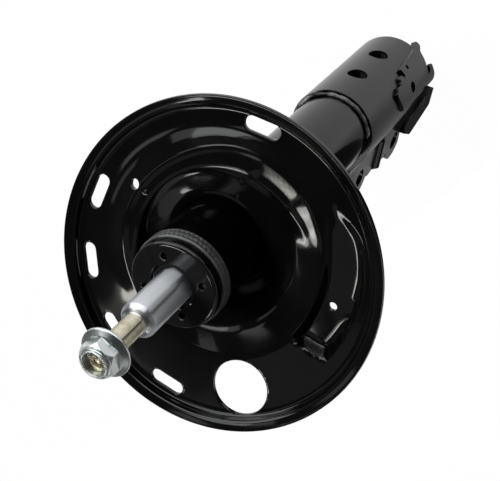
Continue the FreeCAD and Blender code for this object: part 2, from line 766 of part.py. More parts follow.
save("strut_tube", build_tube())
save("base_cup", cup)
save("base_weld", base_bead)
save("top_cap", build_cap())
save("oil_seal", seal)
save("seal_spring", garter)
save("seal_washer", seal_ring)
save("reservoir_ring", reservoir)
save("rod_guide", guide)
save("guide_bushing", bushing)
save("pressure_tube", build_cylinder())
save("base_valve_body", foot_body)
save("base_valve_discs", *foot_discs)
save("base_valve_pin", foot_pin)
save("base_check_plate", foot_plate)
save("base_check_spring", foot_spring)
save("spring_seat", seat)
save("seat_weld", seat_bead)
save("knuckle_bracket", build_bracket())
save("bracket_weld", build_bracket_weld())
save("hose_bracket", build_hose_bracket())
save("piston_rod", build_rod(foot_clear))
save("flange_nut", build_nut())
save("rebound_bumper", bumper)
save("rebound_stop", stop)
save("check_stop_washer", washer)
save("piston_check_spring", spring)
save("piston_check_plate", plate)
save("piston", piston)
save("piston_ring", band)
save("rebound_discs", *discs)
save("disc_washer", backing)
save("piston_nut", inner_nut)
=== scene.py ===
import math
import bpy
import bmesh
import numpy as np
from mathutils import Matrix, Vector


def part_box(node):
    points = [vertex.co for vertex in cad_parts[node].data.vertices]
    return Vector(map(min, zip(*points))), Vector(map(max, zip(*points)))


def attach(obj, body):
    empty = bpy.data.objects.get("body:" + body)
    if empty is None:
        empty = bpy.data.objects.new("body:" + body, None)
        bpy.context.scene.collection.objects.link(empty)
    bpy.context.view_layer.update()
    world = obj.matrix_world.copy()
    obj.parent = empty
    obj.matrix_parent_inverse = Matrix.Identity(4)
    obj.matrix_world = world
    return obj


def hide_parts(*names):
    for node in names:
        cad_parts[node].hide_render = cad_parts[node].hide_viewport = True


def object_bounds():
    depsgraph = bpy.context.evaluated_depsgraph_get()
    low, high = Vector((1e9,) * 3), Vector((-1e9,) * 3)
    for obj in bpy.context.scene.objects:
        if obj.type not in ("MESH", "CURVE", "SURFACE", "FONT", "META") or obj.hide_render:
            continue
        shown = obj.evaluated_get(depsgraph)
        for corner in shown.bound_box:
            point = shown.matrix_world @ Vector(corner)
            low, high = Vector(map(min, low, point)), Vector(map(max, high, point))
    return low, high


# Suspension strut: tilted spring seat, chromed rod with flange nut, knuckle and hose brackets.
# Shapes are worked out in millimetres about the strut axis, then moved to the frame in metres.

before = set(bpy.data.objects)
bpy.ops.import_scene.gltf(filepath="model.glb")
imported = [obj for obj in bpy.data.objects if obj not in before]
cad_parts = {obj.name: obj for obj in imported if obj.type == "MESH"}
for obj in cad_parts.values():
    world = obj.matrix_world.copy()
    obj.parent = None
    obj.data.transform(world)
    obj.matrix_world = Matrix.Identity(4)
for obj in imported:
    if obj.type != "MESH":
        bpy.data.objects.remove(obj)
cadLow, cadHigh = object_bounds()
print("stage: frame loaded")

mm = 0.001
axisX = -46.0  # the strut axis, in the frame's own x


def turned(x, y, degrees):
    # x and y turned about the origin; 1 and 0 give the angle's cosine and sine
    c, s = np.cos(np.radians(degrees)), np.sin(np.radians(degrees))
    return x * c - y * s, x * s + y * c


def smooth(low, high, value):
    # 0 below low, 1 above high, an s-curve between
    t = np.clip((value - low) / (high - low), 0.0, 1.0)
    return t * t * (3.0 - 2.0 * t)


def pointsOf(*parts):
    # separate coordinates, arrays or numbers, made one array
    return np.stack(np.broadcast_arrays(*parts), axis=-1)


def softPath(corners, cuts, spans, arcSteps=4, closed=False):
    # Straight runs between corners, each corner swapped for a parabola that leaves the run
    # cuts[i] before the corner and meets the next run as far after it. spans[i] is the number
    # of steps on run i. Works on any number of paths at once: the corners' last two axes count.
    corners = np.asarray(corners, float)
    if closed:
        middle = (corners[..., -1:, :] + corners[..., :1, :]) / 2
        corners = np.concatenate([middle, corners, middle], axis=-2)
        cuts = [0.0] + list(cuts) + [0.0]
        spans = [max(1, spans[-1] // 2)] + list(spans[:-1]) + [max(1, spans[-1] // 2)]
    runs = np.diff(corners, axis=-2)
    lengths = np.linalg.norm(runs, axis=-1, keepdims=True)
    unit = runs / np.maximum(lengths, 1e-9)
    room = 0.45 * lengths  # the most of a run that one corner takes
    rows = []
    last = corners.shape[-2] - 2
    for i in range(last + 1):
        before = np.minimum(cuts[i], room[..., i, :])
        after = np.minimum(cuts[i + 1], room[..., i, :])
        a = corners[..., i, :] + unit[..., i, :] * before
        b = corners[..., i + 1, :] - unit[..., i, :] * after
        for t in np.linspace(0.0, 1.0, spans[i] + 1):
            rows.append(a + (b - a) * t)
        if i < last and cuts[i + 1] > 0:
            p = corners[..., i + 1, :]
            c = p + unit[..., i + 1, :] * np.minimum(cuts[i + 1], room[..., i + 1, :])
            for t in np.linspace(0.0, 1.0, arcSteps + 2)[1:-1]:
                rows.append((1 - t) ** 2 * b + 2 * t * (1 - t) * p + t * t * c)
        elif i < last:
            rows.pop()
    if closed:
        rows.pop()
    return np.stack(rows, axis=-2)


def linked(name, data):
    # a new object in the scene
    piece = bpy.data.objects.new(name, data)
    bpy.context.scene.collection.objects.link(piece)
    return piece


def meshFrom(name, vertices, faces, sharp=35.0):
    # mesh object from points and rows of indices; closed shells are turned outwards
    mesh = bpy.data.meshes.new(name)
    mesh.from_pydata(vertices.tolist(), [], faces)
    finishMesh(mesh, sharp)
    return linked(name, mesh)


def finishMesh(mesh, sharp=35.0, merge=1e-7):
    # merge doubles, point the closed shell outwards, shade smooth but for sharp edges
    work = bmesh.new()
    work.from_mesh(mesh)
    bmesh.ops.remove_doubles(work, verts=work.verts, dist=merge)
    if work.calc_volume(signed=True) < 0:
        bmesh.ops.reverse_faces(work, faces=work.faces)
    work.to_mesh(mesh)
    work.free()
    mesh.polygons.foreach_set("use_smooth", np.ones(len(mesh.polygons), bool))
    mesh.set_sharp_from_angle(angle=math.radians(sharp))
    mesh.update()


def gridPiece(name, grid, closeRows=True, closeColumns=True, capped=False, sharp=35.0):
    # grid of points (rows, columns, 3) in millimetres about the strut axis, joined by four-sided
    # faces and moved to the frame
    rows, columns = grid.shape[:2]
    index = np.arange(rows * columns).reshape(rows, columns)
    caps = [index[0][::-1].tolist(), index[-1].tolist()] if capped else []
    if closeRows and not capped:
        index = np.vstack([index, index[:1]])
    if closeColumns:
        index = np.hstack([index, index[:, :1]])
    corners = [index[:-1, :-1], index[:-1, 1:], index[1:, 1:], index[1:, :-1]]
    quads = np.stack(corners, axis=-1).reshape(-1, 4)
    return meshFrom(name, (grid.reshape(-1, 3) + (axisX, 0.0, 0.0)) * mm, quads.tolist() + caps, sharp)


def turnedPiece(name, profile, cuts, spans, columns, arcSteps, closed=True, sharp=35.0, shape=None):
    # profile of (radius, height) carried round the strut axis; shape(angle, radius, height)
    # may change the radius, as for a hexagon or rolled marks
    path = softPath(profile, cuts, spans, arcSteps, closed)
    angle = np.linspace(0.0, 2 * math.pi, columns, endpoint=False)
    radius, height = path[:, :1], path[:, 1:]
    if shape is not None:
        radius = shape(angle, radius, height)
    grid = pointsOf(radius * np.cos(angle), radius * np.sin(angle), height)
    return gridPiece(name, grid, closeRows=closed, sharp=sharp)


def carve(piece, tool, operation="DIFFERENCE", sharp=35.0):
    # boolean of two closed shells, applied, with the tool removed afterwards
    step = piece.modifiers.new("carve", "BOOLEAN")
    step.operation = operation
    step.solver = "EXACT"
    step.object = tool
    bpy.context.view_layer.update()
    view = bpy.context.evaluated_depsgraph_get()
    result = bpy.data.meshes.new_from_object(piece.evaluated_get(view))
    piece.modifiers.clear()
    piece.data = result
    finishMesh(result, sharp, 1e-8)
    bpy.data.objects.remove(tool)
    return piece


def joined(name, pieces):
    # several meshes made one object
    work = bmesh.new()
    for piece in pieces:
        work.from_mesh(piece.data)
        bpy.data.objects.remove(piece)
    mesh = bpy.data.meshes.new(name)
    work.to_mesh(mesh)
    work.free()
    return linked(name, mesh)


def drillRows(top, bottom, edge):
    # depths and outline growth of a cutter that leaves both edges of a sheet rounded
    share = np.array([1.0, 0.75, 0.5, 0.25, 0.0])
    grow = edge * (1.0 - np.sqrt(1.0 - share ** 2))
    down = top - edge + share * edge
    up = bottom + edge - share[::-1] * edge
    depths = np.concatenate([[top + edge], down, up, [bottom - edge]])
    return depths, np.concatenate([[edge], grow, grow[::-1], [edge]])


def roundedSlot(length, width, grow, steps=12):
    # outline of a round-ended slot along y
    half = (length - width) / 2
    radius = width / 2 + grow
    a = np.linspace(0.0, math.pi, steps + 1)
    top = pointsOf(radius * np.cos(a), half + radius * np.sin(a))
    loop = np.concatenate([top, -top])
    return loop[np.linalg.norm(loop - np.roll(loop, 1, axis=0), axis=1) > 1e-6]


def circle(radius, centre, grow=0.0, steps=20):
    # a slot as long as it is wide, about a centre
    return roundedSlot(2 * radius, 2 * radius, grow, steps) + centre


def prismPiece(name, loops, heights, place):
    # outline loops stacked at heights; place maps (a, b, height) arrays to points
    rows = [place(loop[:, 0], loop[:, 1], h) for loop, h in zip(loops, heights)]
    return gridPiece(name, np.stack(rows), capped=True)


def straight(name, loop, near, far, place):
    # one outline carried straight on from near to far
    return prismPiece(name, [loop, loop], [near, far], place)


def facing(degrees):
    # a place for prismPiece whose third value runs outwards from the strut axis at this angle
    return lambda u, v, depth: pointsOf(*turned(depth, u, degrees), v)


def softEdges(piece, width):
    # small round along the edges that the trims leave
    edge = piece.modifiers.new("softEdges", "BEVEL")
    edge.width = width * mm
    edge.segments = 2
    edge.limit_method = "ANGLE"
    edge.angle_limit = math.radians(50)
    return piece


def dress(piece, node, body, finish):
    # a new piece's finish, the body it rides on, the node it stands for and its slot
    piece.data.materials.append(finish)
    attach(piece, body)
    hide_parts(node)


# Materials

class Wire:
    # a node's output, which can be used in plain sums
    def __init__(self, finish, end):
        self.finish = finish
        self.end = end

    def sum(self, kind, *parts):
        return self.finish.add("ShaderNodeMath", {"operation": kind}, dict(enumerate(parts)))

    def __add__(self, other):
        return self.sum("ADD", self, other)

    def __sub__(self, other):
        return self.sum("SUBTRACT", self, other)

    def __rsub__(self, other):
        return self.sum("SUBTRACT", other, self)

    def __mul__(self, other):
        return self.sum("MULTIPLY", self, other)

    __radd__ = __add__
    __rmul__ = __mul__


class Nodes:
    # a node tree, and one method that adds any node to it
    def __init__(self, tree):
        self.tree = tree

    def join(self, socket, value):
        if isinstance(value, Wire):
            self.tree.links.new(value.end, socket)
        elif isinstance(value, (tuple, list)) and len(value) == 3 and socket.type == "RGBA":
            socket.default_value = (*value, 1.0)
        else:
            socket.default_value = value

    def add(self, kind, settings=None, sockets=None, out=0):
        # any node: its settings first, then its sockets by name or number
        node = self.tree.nodes.new(kind)
        for name, value in (settings or {}).items():
            if name == "stops":
                elements = node.color_ramp.elements
                while len(elements) < len(value):
                    elements.new(0.5)
                for element, (place, tone) in zip(elements, value):
                    element.position = place
                    element.color = (*((tone,) * 3 if isinstance(tone, float) else tone), 1.0)
            else:
                setattr(node, name, value)
        for name, value in (sockets or {}).items():
            self.join(node.inputs[name], value)
        return Wire(self, node.outputs[out])

    def ray(self, kind):
        # 1 for this kind of ray
        return self.add("ShaderNodeLightPath", out="Is %s Ray" % kind)

    def ramp(self, value, *stops):
        return self.add("ShaderNodeValToRGB", {"stops": stops}, {"Fac": value}, out="Color")

    def mix(self, factor, first, second):
        sockets = {0: factor, 6: first, 7: second}
        return self.add("ShaderNodeMix", {"data_type": "RGBA"}, sockets, out=2)


class Finish(Nodes):
    # one material: its shader's plain numbers, and the patterns that several finishes use
    def __init__(self, name, colour, roughness, metallic=0.0, specular=0.5):
        self.material = bpy.data.materials.new(name)
        self.material.use_nodes = True
        super().__init__(self.material.node_tree)
        self.shader = self.tree.nodes["Principled BSDF"]
        self.set("Base Color", colour)
        self.set("Roughness", roughness)
        self.set("Metallic", metallic)
        self.set("Specular IOR Level", specular)
        self.point = self.add("ShaderNodeTexCoord", out="Object")

    def set(self, name, value):
        self.join(self.shader.inputs[name], value)

    def noise(self, scale, detail=3.0, roughness=0.5, vector=None):
        sockets = {"Vector": vector or self.point, "Scale": scale, "Detail": detail, "Roughness": roughness}
        return self.add("ShaderNodeTexNoise", {"noise_dimensions": "3D"}, sockets, out="Fac")

    def above(self, height):
        # 0 on the piece below a height in metres, 1 from about a millimetre over it
        z = self.add("ShaderNodeSeparateXYZ", {}, {"Vector": self.point}, out="Z")
        return self.ramp((z - height) * 900.0, (0.0, 0.0), (1.0, 1.0))

    def bump(self, height, strength, distance, normal=None):
        sockets = {"Strength": strength, "Distance": distance, "Height": height}
        if normal is not None:
            sockets["Normal"] = normal
        return self.add("ShaderNodeBump", {}, sockets, out="Normal")


enamel = {
    "colour": (0.0016, 0.0016, 0.0017),
    "dusty": (0.0030, 0.0030, 0.0031),
    # the band's grey: rubbed paint, and painted sheen of the rolled marks
    "rubbedAndSheen": (0.20, 0.203, 0.203),
    "roughness": 0.05,
    "speck": (0.018, 0.018, 0.018),
    "dust": (62.0, 6.0, 0.62),  # noises: scale per metre, detail, roughness
    "grain": (900.0, 2.0),
    "specks": (1500.0, 1.0),
    "rub": (300.0, 4.0),
    "peel": (480.0, 2.0),  # orange peel
    "peelDepth": 0.000012,
    "wave": (30.0, 1.0),  # pressed sheet is never quite flat
    "waveDepth": 0.00022,
    "roughen": (0.05, 0.02, 0.15),  # by dust, grain and rubbing
}


def enamelFinish(name, peel, wave, rough=0.0, wear=0.0, band=None, pale=1.0):
    # black stoved enamel: thin orange peel over the sheet's own waves, dust, and specks that wear makes
    # rougher; between the band's two heights it is rubbed grey, as on a rolled edge, and that grey is also
    # a painted sheen for the glints of the rolled marks
    f = Finish(name, enamel["colour"], enamel["roughness"])
    dust = f.noise(*enamel["dust"])
    grain = f.noise(*enamel["grain"])
    # painted sheen: pale above 1 lightens both shades, standing in for a soft reflection
    dark, light = [tuple(pale * part for part in enamel[shade]) for shade in ("colour", "dusty")]
    tone = f.ramp(dust, (0.35, dark), (0.80, light))
    speck = f.ramp(f.noise(*enamel["specks"]), (0.70, 0.0), (0.76, 1.0))
    tone = f.mix(speck * 0.25, tone, enamel["speck"])
    rubbedAndSheen = 0.0
    if band:
        rubbedAndSheen = f.above(band[0]) * (1 - f.above(band[1]))
        # partly painted sheen: the band's grey stands in for the glints of the rolled marks as well as for
        # rubbed paint
        tone = f.mix(rubbedAndSheen * (0.35 + 0.65 * f.noise(*enamel["rub"])), tone, enamel["rubbedAndSheen"])
    f.set("Base Color", tone)
    byDust, byGrain, byRub = enamel["roughen"]
    base = enamel["roughness"] + rough
    f.set("Roughness", base + byDust * dust * dust + byGrain * grain + wear * speck + byRub * rubbedAndSheen)
    slow = f.bump(f.noise(*enamel["wave"]), 1.0, enamel["waveDepth"] * wave)
    f.set("Normal", f.bump(f.noise(*enamel["peel"]), 1.0, enamel["peelDepth"] * peel, slow))
    return f.material


weldLook = {
    "dark": (0.005, 0.005, 0.005),
    "brown": (0.014, 0.013, 0.012),
    "paintedGlint": (0.55, 0.56, 0.56),
    "lumpScale": 420.0,
    "lumpDepth": 0.0003,
}


def weldFinish():
    # enamel over a weld bead: lumpy and glossy, with pale patches painted on as highlights
    f = Finish("weldEnamel", enamel["colour"], 0.12)
    lumps = f.noise(weldLook["lumpScale"], 3.0)
    # painted highlight: pale grey patches on the lumps stand in for the bead's glints
    paintedGlint = f.ramp(f.noise(45.0, 1.0), (0.46, 0.0), (0.54, 1.0)) * lumps
    dark = f.ramp(lumps, (0.3, weldLook["dark"]), (0.8, weldLook["brown"]))
    f.set("Base Color", f.mix(paintedGlint, dark, weldLook["paintedGlint"]))
    f.set("Roughness", 0.08 + 0.14 * lumps)
    f.set("Normal", f.bump(lumps, 1.0, weldLook["lumpDepth"]))
    return f.material


rodLook = {
    "chrome": (0.74, 0.76, 0.79),
    "stain": ((0.35, (0.88, 0.84, 0.68)), (0.60, (0.70, 0.64, 0.47)), (0.80, (0.42, 0.36, 0.25))),
    "brushed": 1.0,
    "roughness": 0.27,
    "ringScale": (60.0, 60.0, 9000.0),  # the grind's noise, per metre across and along
    "shoulderHeight": 0.3516,  # chrome ends here, metres
}


def rodFinish():
    # hard chrome with fine ring grind below the shoulder, tan stained steel above
    f = Finish("groundChrome", rodLook["chrome"], 0.06, 1.0)
    f.set("Anisotropic", rodLook["brushed"])
    f.set("Anisotropic Rotation", 0.25)
    upper = f.above(rodLook["shoulderHeight"])
    squeezed = f.add("ShaderNodeMapping", {}, {"Vector": f.point, "Scale": rodLook["ringScale"]})
    rings = f.noise(1.0, 2.0, 0.6, squeezed)
    cloud = f.noise(70.0, 4.0)
    stain = f.ramp(f.noise(240.0, 4.0), *rodLook["stain"])
    f.set("Base Color", f.mix(upper, rodLook["chrome"], stain))
    f.set("Roughness", rodLook["roughness"] + 0.04 * rings * (1 - upper) + 0.04 * cloud - 0.06 * upper)
    f.set("Normal", f.bump(rings, 0.35, 0.00002))
    return f.material


def nutFinish():
    # bright zinc plate: a soft sheen in small clouds with a faint blue-green cast
    f = Finish("brightZinc", (0.72, 0.76, 0.76), 0.26, 1.0)
    cloud = f.noise(160.0, 5.0)
    f.set("Base Color", f.ramp(cloud, (0.30, (0.66, 0.71, 0.71)), (0.70, (0.80, 0.83, 0.82))))
    f.set("Roughness", 0.20 + 0.16 * cloud)
    f.set("Normal", f.bump(f.noise(700.0, 3.0), 0.25, 0.00003))
    return f.material


def metalFinish(name, dark, light, roughness, grain, depth):
    # plain machined or sintered metal: tone follows the grain, roughness with it
    f = Finish(name, light, roughness, 1.0)
    cloud = f.noise(grain, 5.0)
    f.set("Base Color", f.ramp(cloud, (0.3, dark), (0.7, light)))
    f.set("Roughness", roughness - 0.08 + 0.2 * cloud)
    f.set("Normal", f.bump(f.noise(grain * 8.0, 2.0), 0.6, depth))
    return f.material


def rubberFinish(name, colour, roughness, grain=900.0):
    # dull rubber or plastic: paler clouds up to 1.8 times the colour, and a fine grain
    f = Finish(name, colour, roughness, 0.0, 0.4)
    cloud = f.noise(120.0, 4.0)
    f.set("Base Color", f.mix(cloud, colour, tuple(min(1.0, c * 1.8) for c in colour)))
    f.set("Roughness", roughness - 0.1 + 0.2 * cloud)
    f.set("Normal", f.bump(f.noise(grain, 3.0), 0.6, 0.00004))
    return f.material


seatPaint = enamelFinish("seatEnamel", peel=0.5, wave=0.55)
tubePaint = enamelFinish("tubeEnamel", peel=1.2, wave=0.25, rough=0.04, band=(0.3008, 0.3080))
# painted sheen: the cap's enamel is three times paler, standing in for the soft reflection on its face
capPaint = enamelFinish("capEnamel", peel=0.4, wave=0.05, rough=-0.03, pale=3.0)
bracketPaint = enamelFinish("bracketEnamel", peel=2.0, wave=0.4, rough=0.12, wear=0.1)
weldPaint = weldFinish()
chrome = rodFinish()
zinc = nutFinish()
sealRubber = rubberFinish("sealRubber", (0.004, 0.004, 0.004), 0.75)
bumperRubber = rubberFinish("bumperRubber", (0.025, 0.024, 0.022), 0.7)
bandPlastic = rubberFinish("bandPlastic", (0.10, 0.085, 0.07), 0.45, 1500.0)
oiledSteel = metalFinish("oiledSteel", (0.36, 0.36, 0.35), (0.58, 0.58, 0.57), 0.30, 90.0, 0.00002)
springSteel = metalFinish("springSteel", (0.25, 0.27, 0.30), (0.42, 0.44, 0.47), 0.24, 140.0, 0.00001)
sintered = metalFinish("sinteredIron", (0.16, 0.16, 0.16), (0.30, 0.30, 0.29), 0.55, 420.0, 0.00012)
bronze = metalFinish("bushingBronze", (0.40, 0.24, 0.12), (0.62, 0.42, 0.22), 0.35, 200.0, 0.00003)
print("stage: materials made")


# Spring seat: every ring of it is a circle, and each column is a path through the rings

seat = {
    "centre": (4.0, 7.7, 283.7),
    "tilt": 13.3,
    "sheet": 3.0,
    "rim": 93.6,
    "lip": (88.2, -2.2),
    "floor": (87.2, -7.5),
    "well": (57.0, -5.2),  # radius, shift outboard
    "turn": (45.3, 272.5, 10.2),  # radius, height, tilt
    "neck": (29.6, 264.5),
    "neckCurl": (3.2, 1.5),  # drop from neck to collar, and how much more below
    "collar": (25.55, 250.0),
    "underside": (0.4, 1.6),  # how much wider the rim and the wall are below
    "bead": (71.0, 61.2, 4.2, 130.0, 290.0),  # flare's foot, crest, height, ends
    "beadFade": (18.0, 20.0, 40.0),  # degrees round its start, before its end and after it
    "crestDrift": (1.6, 3.7, 172.0, 226.0),  # the crest moves in from one angle to the other
    "ledge": ((57.4, 3.55), (52.4, 3.48), (48.9, 2.9)),
    "slope": ((58.9, 4.0), (53.4, 2.85), (48.9, 2.6)),
    "spread": (0.3, 0.3, 0.7),  # share of the sheet by which foot, middle and lip widen
    "fade": (0.06, 0.06, 0.2, 0.4),  # how far the faded bead's corners slide to the turn
    "slopeEnd": (168.0, 178.0),  # the strip inside the crest leans in below this angle
    "bumps": ((-50.9, -0.1, 2.1, 2.1, 0.9), (-39.0, -0.7, 1.2, 1.2, 0.5), (-24.9, -50.7, 1.6, 2.6, 0.7)),
    "channel": (72.3, 141.0, 8.5),  # start and end of its floor, depth
    "channelStop": (66.8, 0.22, 3.4),  # angle of its end wall, degrees it leans per mm, width
    "stopRadius": 60.0,  # where that angle is measured
    "stopReach": 8.0,  # degrees over which the columns follow the lean
    "stopCrowd": (4.0, 3.0),  # how many more columns there, over how many degrees
    "channelInner": ((70, 56.1), (96, 58.0), (114, 60.8), (125, 64.0), (132, 68.0), (141, 74.0)),
    "channelOuter": ((66, 74.2), (72, 75.2), (86, 76.5), (99, 79.2), (110, 80.5), (119, 81.1),
                     (125, 80.6), (129, 77.6), (141, 75.0)),
    "channelWalls": (5.0, 5.4),  # width of the inner and the outer wall
    "channelSoft": 0.25,  # how round two walls meet
    "slots": (81.0, 21.0, 7.8, (178.1, 261.0, 290.8, 320.8, 351.4)),
    "holes": ((16.2, 70.6, 25.6), (3.0, 64.0, 245.8), (2.5, 65.0, 91.0)),
    "cutEdges": (0.55, 0.5),  # round along the slots, along the large hole
    "plainCut": (6.0, -16.0),  # ends of the small holes' cutters above the floor
    "columns": 374,
    "cuts": [1.2, 2.0, 3.4, 9.0, 1.2, 0.8, 0.8, 1.6, 5.0, 3.0, 1.6, 0.9,
             0.9, 2.0, 3.0, 5.0, 3.0, 1.5, 1.5, 1.5, 5.0, 3.4, 2.5, 1.2],
    "spans": [3, 3, 28, 16, 3, 5, 3, 11, 7, 2, 3, 1, 2, 2, 6, 6, 2, 3, 2, 10, 14, 3, 3, 2],
}


def seatLean(points, back=False):
    # the seat's own frame to the strut's, or back: a turn about y and a shift
    if back:
        points = points - seat["centre"]
    x, z = turned(points[..., 0], points[..., 2], -seat["tilt"] if back else seat["tilt"])
    leaned = pointsOf(x, points[..., 1], z)
    return leaned if back else leaned + seat["centre"]


def polar(points):
    # radius, and angle in degrees
    x, y = points[..., 0], points[..., 1]
    return np.hypot(x, y), np.degrees(np.arctan2(y, x))


def seatChannel(points, grow):
    # Spring end channel: a step down behind the stop that runs out along the floor. Its floor
    # rises with the angle. Its sides follow two tables of radius by angle, averaged over a few
    # degrees. Every wall is an s-curve across its own width, and where two walls meet the
    # smaller distance counts, rounded off as the logarithm of a sum of powers.
    start, end, deep = seat["channel"]
    stop, stopLean, stopWall = seat["channelStop"]
    innerWall, outerWall = seat["channelWalls"]
    soft = seat["channelSoft"]
    radius, angle = polar(points)
    part = np.clip((angle - start) / (end - start), 0.0, 1.0)

    def side(table):
        at, value = zip(*table)
        return sum(np.interp(angle + shift, at, value) for shift in (-3, -1, 1, 3)) / 4

    inside = radius - side(seat["channelInner"]) + grow
    outside = side(seat["channelOuter"]) + grow - radius
    along = radius * np.radians(angle - stop - stopLean * (radius - seat["stopRadius"])) + grow
    shares = np.stack([inside / innerWall, outside / outerWall, along / stopWall])
    nearest = -soft * np.log(np.exp(np.clip(shares / -soft, -40.0, 40.0)).sum(axis=0))
    window = smooth(-0.5, 0.5, nearest) * (angle < end) * (angle > 30)
    target = seat["floor"][1] - deep * (1 - part) - grow
    z = points[..., 2]
    return pointsOf(points[..., 0], points[..., 1], z - window * np.maximum(0.0, z - target))


def seatShear(points):
    # turns the floor's columns near the spring stop, by its lean times the radius beyond stopRadius
    stop, stopLean = seat["channelStop"][:2]
    radius, angle = polar(points)
    near = np.exp(-((angle - stop) / seat["stopReach"]) ** 2)
    angle = angle + near * stopLean * np.maximum(0.0, radius - seat["stopRadius"])
    return pointsOf(*turned(radius, 0.0, angle), points[..., 2])


def seatBumps(points, top):
    # small raised dots of the press tool: z gains h * (1 - d^2)^2 inside an ellipse, top face alone
    z = points[..., 2]
    for x, y, wide, tall, high in seat["bumps"]:
        d = ((points[..., 0] - x) / wide) ** 2 + ((points[..., 1] - y) / tall) ** 2
        z = z + top * high * np.clip(1 - d, 0.0, 1.0) ** 2
    return pointsOf(points[..., 0], points[..., 1], z)


def seatGrid():
    # Columns of corners, crowded together at the spring stop. Each runs down the top face from
    # rim to collar, then along the underside back to the rim.
    even = np.linspace(0.0, 360.0, 3601)
    more, within = seat["stopCrowd"]
    crowd = np.cumsum(1.0 + more * np.exp(-((even - seat["channelStop"][0]) / within) ** 2))
    share = np.linspace(crowd[0], crowd[-1], seat["columns"], endpoint=False)
    degrees = np.interp(share, crowd, even)
    cos, sin = turned(1.0, 0.0, degrees)
    sheet = seat["sheet"]
    floor = seat["floor"][1]

    def ring(radius, height, shift=0.0):
        return pointsOf(shift + radius * cos, radius * sin, height)

    def hubRing(radius, height, tilt=0.0):
        x, z = turned(radius * cos, 0.0, tilt)
        return seatLean(pointsOf(x, radius * sin, height + z), back=True)

    foot, crest, high, begin, finish = seat["bead"]
    rise, before, after = seat["beadFade"]
    weight = smooth(begin - rise, begin + rise, degrees)
    weight = (weight * (1 - smooth(finish - before, finish + after, degrees)))[:, None]
    out, travel, first, last = seat["crestDrift"]
    drift = out - travel * smooth(first, last, degrees)
    lean = smooth(*seat["slopeEnd"], degrees)[:, None]
    well, shift = seat["well"]

    def wellRings(grow):
        # flare, crest, inner edge and funnel for one face of the sheet; where the bead fades,
        # its corners slide onto the floor's edge and the straight funnel side below it
        edge = ring(well + grow, floor - grow, shift)
        radius, height, tilt = seat["turn"]
        turn = hubRing(radius + grow, height - grow, tilt)
        atFoot, atMiddle, atLip = seat["spread"]
        start = ring(foot + grow * atFoot, floor - grow, shift)
        top = ring(crest + drift, floor + high - grow, shift)
        strips = []
        for name in ("ledge", "slope"):
            rings = zip(seat[name], (drift, grow * atMiddle, grow * atLip))
            strips.append([ring(at + move, floor + up - grow, shift) for (at, up), move in rings])
        strip = [lean * level + (1 - lean) * slope for level, slope in zip(*strips)]
        ways = zip(seat["fade"], (start, turn, turn, turn))
        plain = [edge + part * (far - edge) for part, far in ways]
        raised = [weight * on + (1 - weight) * off for on, off in zip((top, *strip), plain)]
        return [start, *raised, turn]

    neckRadius, neckHeight = seat["neck"]
    curl, belowCurl = seat["neckCurl"]
    bore, collarFoot = seat["collar"]
    rim = seat["rim"]
    rimMore, wallMore = seat["underside"]
    lip, lipHeight = seat["lip"]
    top = [ring(rim, 0.0), ring(lip, lipHeight), ring(*seat["floor"])] + wellRings(0.0)
    top += [hubRing(neckRadius, neckHeight), hubRing(bore, neckHeight - curl), hubRing(bore, collarFoot)]
    under = [hubRing(bore + sheet, collarFoot), hubRing(bore + sheet, neckHeight - curl - belowCurl)]
    under += [hubRing(neckRadius + sheet, neckHeight - sheet)] + wellRings(sheet)[::-1]
    under += [ring(seat["floor"][0] + wallMore, floor - sheet), ring(lip + wallMore, lipHeight - sheet),
              ring(rim + rimMore, -sheet)]
    corners = np.stack(top + under, axis=1)
    arcSteps = 4
    path = seatShear(softPath(corners, seat["cuts"], seat["spans"], arcSteps, closed=True))
    rowGrow = np.zeros(path.shape[1])
    rowGrow[len(top) * arcSteps + sum(seat["spans"][:len(top)]):] = sheet
    return np.swapaxes(seatBumps(seatChannel(path, rowGrow), rowGrow == 0), 0, 1)


def buildSeat():
    # the pressed grid, with its slots and holes cut square to the sheet and softly edged
    piece = gridPiece("springSeat", seatLean(seatGrid()), sharp=40.0)
    floor = seat["floor"][1]

    def square(a, b, height):
        return seatLean(pointsOf(a, b, height))

    tools = []
    away, length, width, angles = seat["slots"]
    slotEdge, holeEdge = seat["cutEdges"]
    depths, grows = drillRows(floor, floor - seat["sheet"], slotEdge)
    for angle in angles:
        loops = []
        for grow in grows:
            x, y = roundedSlot(length, width, grow).T
            loops.append(pointsOf(*turned(x + away, y, angle)))
        tools.append(prismPiece("slotTool", loops, depths, square))
    for k, (radius, away, angle) in enumerate(seat["holes"]):
        centre = turned(away, 0.0, angle)
        depths, grows = [floor + end for end in seat["plainCut"]], [0.0, 0.0]
        if k == 0:
            depths, grows = drillRows(floor, floor - seat["sheet"], holeEdge)
        loops = [circle(radius, centre, grow, 32 if k == 0 else 12) for grow in grows]
        tools.append(prismPiece("holeTool", loops, depths, square))
    return carve(piece, joined("seatTools", tools), sharp=40.0)


dress(buildSeat(), "spring_seat", "strut", seatPaint)
print("stage: spring seat")


# Tube, closing cap and seal

tube = {
    "radius": 25.4,
    "wall": 2.6,
    "top": 309.0,
    "bottom": -12.0,
    "bandLow": 300.5,
    "bandProud": 0.9,
    "marks": 0.42,  # depth of the rolled marks
    "markCount": 60,
    "markRows": (302.7, 306.2, 0.8),
    "markEnds": ((300.6, 301.2), (307.6, 308.2)),
    "cap": 315.0,
    "capHole": 13.2,
    "capSheet": 2.6,
    "capGap": 0.08,
    "spigot": (2.92, 3.0),  # wall and length of the cap's spigot
    "portRadius": 2.0,
    "portCircle": 17.5,
    "portTurn": 25.0,
    "portEdge": 0.35,
    "seal": (10.05, 12.7, 308.3, 313.8),
}


